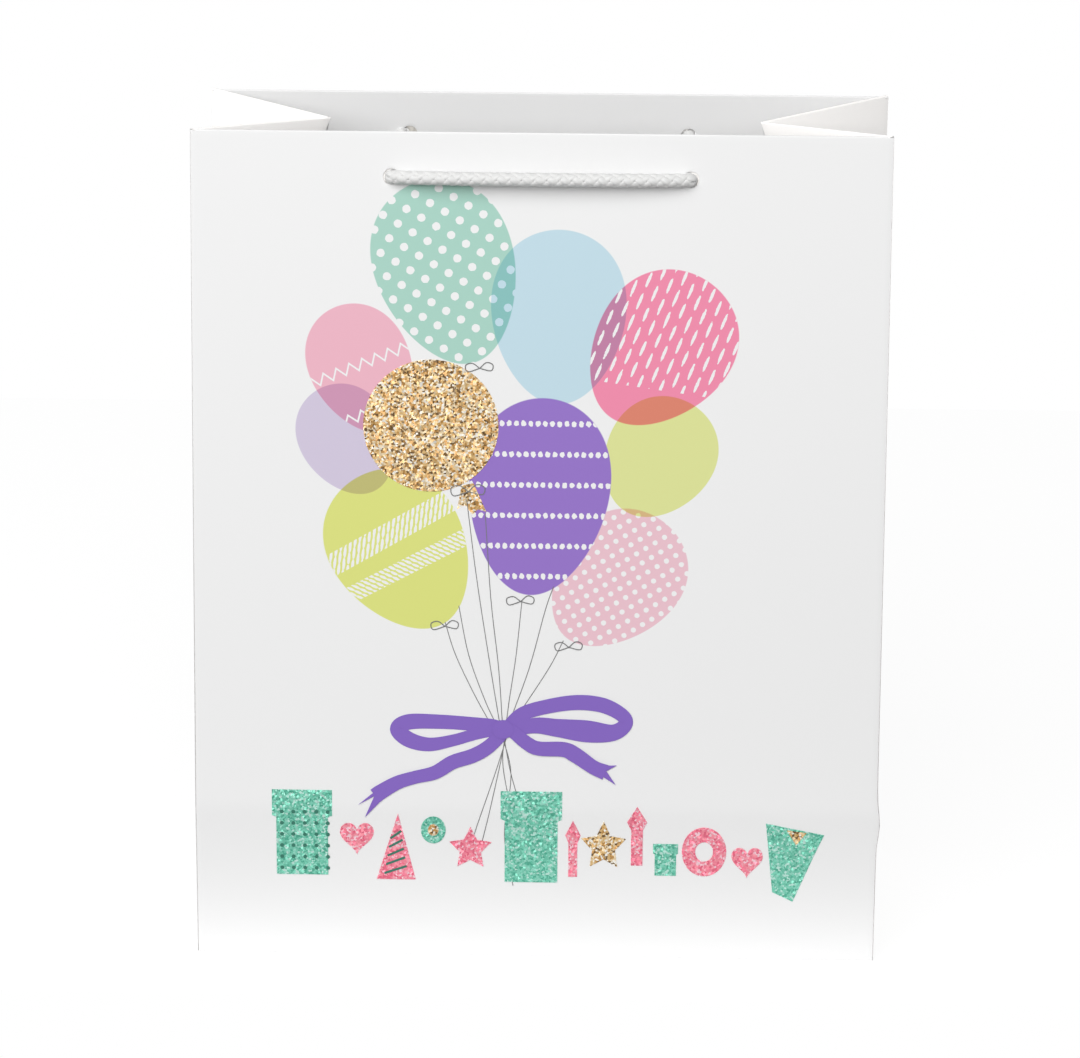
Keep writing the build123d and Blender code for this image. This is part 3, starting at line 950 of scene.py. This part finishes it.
# Strings from the balloons to the bow, and from the bow down
STRINGS = [
    [(-35, 133.6), (-31, 121), (-24, 106), (-17.5, 94)], [(-29.8, 140), (-26, 121), (-20, 104), (-15.5, 94)],
    [(-27, 181), (-23, 150), (-18, 118), (-14, 94)], [(-20, 176), (-17.7, 143), (-14.6, 116), (-13, 94)],
    [(-5.9, 142.6), (-8, 121), (-10.4, 104), (-11.6, 94)], [(6, 148), (3, 139), (-3, 116), (-10.6, 94)],
    [(9.9, 127), (5, 117), (-3, 104), (-9.6, 94)],
    [(-11, 90), (-15.5, 75), (-22.7, 52.8), (-24, 47)], [(-11.6, 90), (-14, 77), (-18, 58), (-21, 45)],
    [(-12, 90), (-12.8, 79), (-10.7, 66), (-9, 60)], [(-12.6, 90), (-10, 76), (-7.6, 67), (-6.4, 61)],
    [(-13.2, 90), (-9.6, 74), (-12, 50), (-8.6, 29)],
]
# Small bows at the balloons' necks: across, up, scale
TIES = [(-35, 132, 0.85), (-6.4, 142, 0.85), (12, 124.4, 0.85), (-22.4, 231.4, 0.85),
        (-26.4, 184.2, 1.05)]


def loops(x, s, scale):
    """Lines of a small drawn bow: a loop to each side of its knot."""
    left = [(0, 0), (-3.2, 2.2), (-6.2, 1.2), (-5.2, -1.6), (0, 0)]
    right = [(0, 0), (3, 2.6), (5.8, 1.6), (5, -1), (0, 0)]
    return [[(x + scale * a, s + scale * b) for a, b in half] for half in (left, right)]


class GIFTBAG_OT_drawing(bpy.types.Operator):
    """Draws the strings, small bows, string ribbons and the big ribbon bow on the front"""

    bl_idname = "giftbag.drawing"
    bl_label = "Strings and ribbon"

    def execute(self, context):
        art = context.scene.giftbag_artwork
        pencil = ink("Dark grey offset ink", art.pencil)
        lines = [stroke(points, art.string_width, FLAT, 6) for points in STRINGS]
        artwork("balloon_strings", lines, pencil, art.ink_height)
        ties = [stroke(half, art.string_width * 1.25, 0.1, 6) for tie in TIES for half in loops(*tie)]
        artwork("balloon_ties", ties, pencil, art.ink_height)
        bow = [stroke(points, 4, 0.08 + 0.1 * i, 8) for i, points in enumerate(BOW)]  # one over another
        ends = [patch(corners(fork, 24), 0.33, rows=3) for fork in FORKS]
        knot = [patch(np.array([(-12.8, 92)]) + OUTLINES["disc"] * (8, 7.4) - (4, 3.7), 0.52)]
        artwork("ribbon_bow", bow + ends + knot, ink("Purple offset ink", art.ribbon), art.ink_height)
        return {"FINISHED"}


class GIFTBAG_OT_glitter(bpy.types.Operator):
    """Makes the glitter: the gold balloon with its neck, and the party shapes along the foot"""

    bl_idname = "giftbag.glitter"
    bl_label = "Glitter balloon and party shapes"

    def execute(self, context):
        art = context.scene.giftbag_artwork
        kinds = glitters()
        round_ = np.stack([-40.6 + 25.4 * np.cos(ANGLES), 209.3 + 25.2 * np.sin(ANGLES)], -1)
        neck = corners([(-29, 186.5), (-24.5, 187.5), (-19.6, 176.5), (-22.8, 177.4), (-24.8, 175.4),
                        (-27.6, 179), (-30.6, 177.4)], 40)
        artwork("gold_balloon", [patch(round_, FLAT, rows=24), patch(neck, FLAT, rows=4)],
                kinds["gold"], art.glitter_height)
        for kind in ("mint", "pink", "gold"):
            grids = []
            for name, left, right, low, high, tone, hollow in PARTY:
                if tone == kind:
                    outline = OUTLINES[name] * (right - left, high - low) + (left, low)
                    grids.append(patch(outline, FLAT, hollow, 8))
            if kind == "gold":  # centre of the small wreath, and the pennant's corner
                grids.append(patch(OUTLINES["disc"] * (4, 4.6) + (-41.2, 49.2), FLAT))
                grids.append(patch(corners([(96, 53.4), (99.6, 47.4), (103.4, 52.4)], 24), 0.2))
            artwork(f"{kind}_party_shapes", grids, kinds[kind], art.glitter_height)
        # six rows of five dots on the left parcel, and stripes across the hat
        dots = [patch(OUTLINES["disc"] * 1.5 + (-98 + 4.4 * (k % 5), 34.5 + 4.6 * (k // 5)), 0.18, rows=2)
                for k in range(30)]
        stripes = [stroke([(-58 + 0.6 * k, 33.5 + 3.6 * k), (-49.5 - 0.5 * k, 36.5 + 3.6 * k)], 0.9, 0.18, 2)
                   for k in range(5)]
        artwork("dark_trims", dots + stripes, ink("Dark green offset ink", srgb("#33705F")),
                art.ink_height)
        return {"FINISHED"}


# ---------------------------------------------------------------- stage
class GIFTBAG_OT_stage(bpy.types.Operator):
    """Makes the white table, the white surround, the soft key light and the camera"""

    bl_idname = "giftbag.stage"
    bl_label = "Stage"

    def execute(self, context):
        scene = context.scene
        stage = scene.giftbag_stage
        scene.view_settings.view_transform = "Standard"
        sweep, tree, bsdf = material("Matt white sweep", Base_Color=stage.floor, Roughness=1.0)
        bsdf.inputs["Emission Color"].default_value = (1, 1, 1, 1)
        bsdf.inputs["Emission Strength"].default_value = FLOOR_GLOW
        xx, yy = np.meshgrid(FLOOR_X, FLOOR_Y)
        floor = piece("white_table", [grid(np.stack([xx, yy, xx * 0 - FLOOR_DROP], -1) / MM)], [sweep])
        world = bpy.data.worlds.new("White surround")
        scene.world = world
        world.use_nodes = True
        # a white wall behind the bag, and a dimmer room on the camera's side
        tree = world.node_tree
        axes = add(tree, "SeparateXYZ", {0: add(tree, "TexCoord").outputs["Generated"]})
        ahead = add(tree, "MapRange", {0: axes.outputs[1], 1: 0.75, 2: 0.85, 3: stage.room, 4: stage.sky})
        tree.links.new(ahead.outputs[0], tree.nodes["Background"].inputs["Strength"])
        tree.nodes["Background"].inputs["Color"].default_value = (1, 1, 1, 1)
        lamp = bpy.data.lights.new("Soft key", "AREA")
        lamp.energy = stage.key
        lamp.shape = "SQUARE"
        lamp.size = KEY_SIZE
        key = bpy.data.objects.new("Soft key", lamp)
        scene.collection.objects.link(key)
        place = np.array(KEY_PLACE)
        ahead = unit(np.array(KEY_TARGET) - place)
        right = unit(np.cross(ahead, (0, 0, 1)))
        up = np.cross(right, ahead)
        key.matrix_world = Matrix([[right[i], up[i], -ahead[i], place[i]] for i in range(3)] + [[0, 0, 0, 1]])
        camera = bpy.data.cameras.new("Camera")
        camera.lens = stage.lens
        camera.sensor_width = 36.0
        camera.clip_start, camera.clip_end = 0.1, 20.0
        eye = bpy.data.objects.new("Camera", camera)
        scene.collection.objects.link(eye)
        turn = (Matrix.Rotation(CAMERA_LEFT, 4, "Z") @ Matrix.Rotation(math.pi / 2 - CAMERA_DOWN, 4, "X")
                @ Matrix.Rotation(CAMERA_TIPPED, 4, "Z"))
        eye.matrix_world = Matrix.Translation(CAMERA_PLACE) @ turn
        scene.camera = eye
        return {"FINISHED"}


STEPS = [GIFTBAG_OT_sheets, GIFTBAG_OT_gussets, GIFTBAG_OT_boards, GIFTBAG_OT_handles,
         GIFTBAG_OT_drawing, GIFTBAG_OT_glitter, GIFTBAG_OT_stage]
GROUPS = {"giftbag_paper": GIFTBAG_PG_paper, "giftbag_handles": GIFTBAG_PG_handles,
          "giftbag_artwork": GIFTBAG_PG_artwork, "giftbag_stage": GIFTBAG_PG_stage}


class GIFTBAG_PT_panel(bpy.types.Panel):
    """Sizes, colours and steps of the gift bag"""

    bl_idname = "GIFTBAG_PT_panel"
    bl_label = "Gift Bag"
    bl_space_type = "VIEW_3D"
    bl_region_type = "UI"
    bl_category = "Gift Bag"

    def draw(self, context):
        for name, group in GROUPS.items():
            box = self.layout.box()
            for key in group.__annotations__:
                box.prop(getattr(context.scene, name), key)
        for step in STEPS:
            self.layout.operator(step.bl_idname)


def register():
    for group in (*GROUPS.values(), *STEPS, GIFTBAG_PT_panel):
        bpy.utils.register_class(group)
    for name, group in GROUPS.items():
        setattr(bpy.types.Scene, name, PointerProperty(type=group))


def unregister():
    for name in GROUPS:
        delattr(bpy.types.Scene, name)
    for group in (GIFTBAG_PT_panel, *STEPS, *GROUPS.values()):
        bpy.utils.unregister_class(group)


def main():
    """Makes every piece in turn."""
    register()
    for step in STEPS:
        getattr(bpy.ops.giftbag, step.bl_idname.split(".")[1])()


if __name__ == "__main__":
    main()
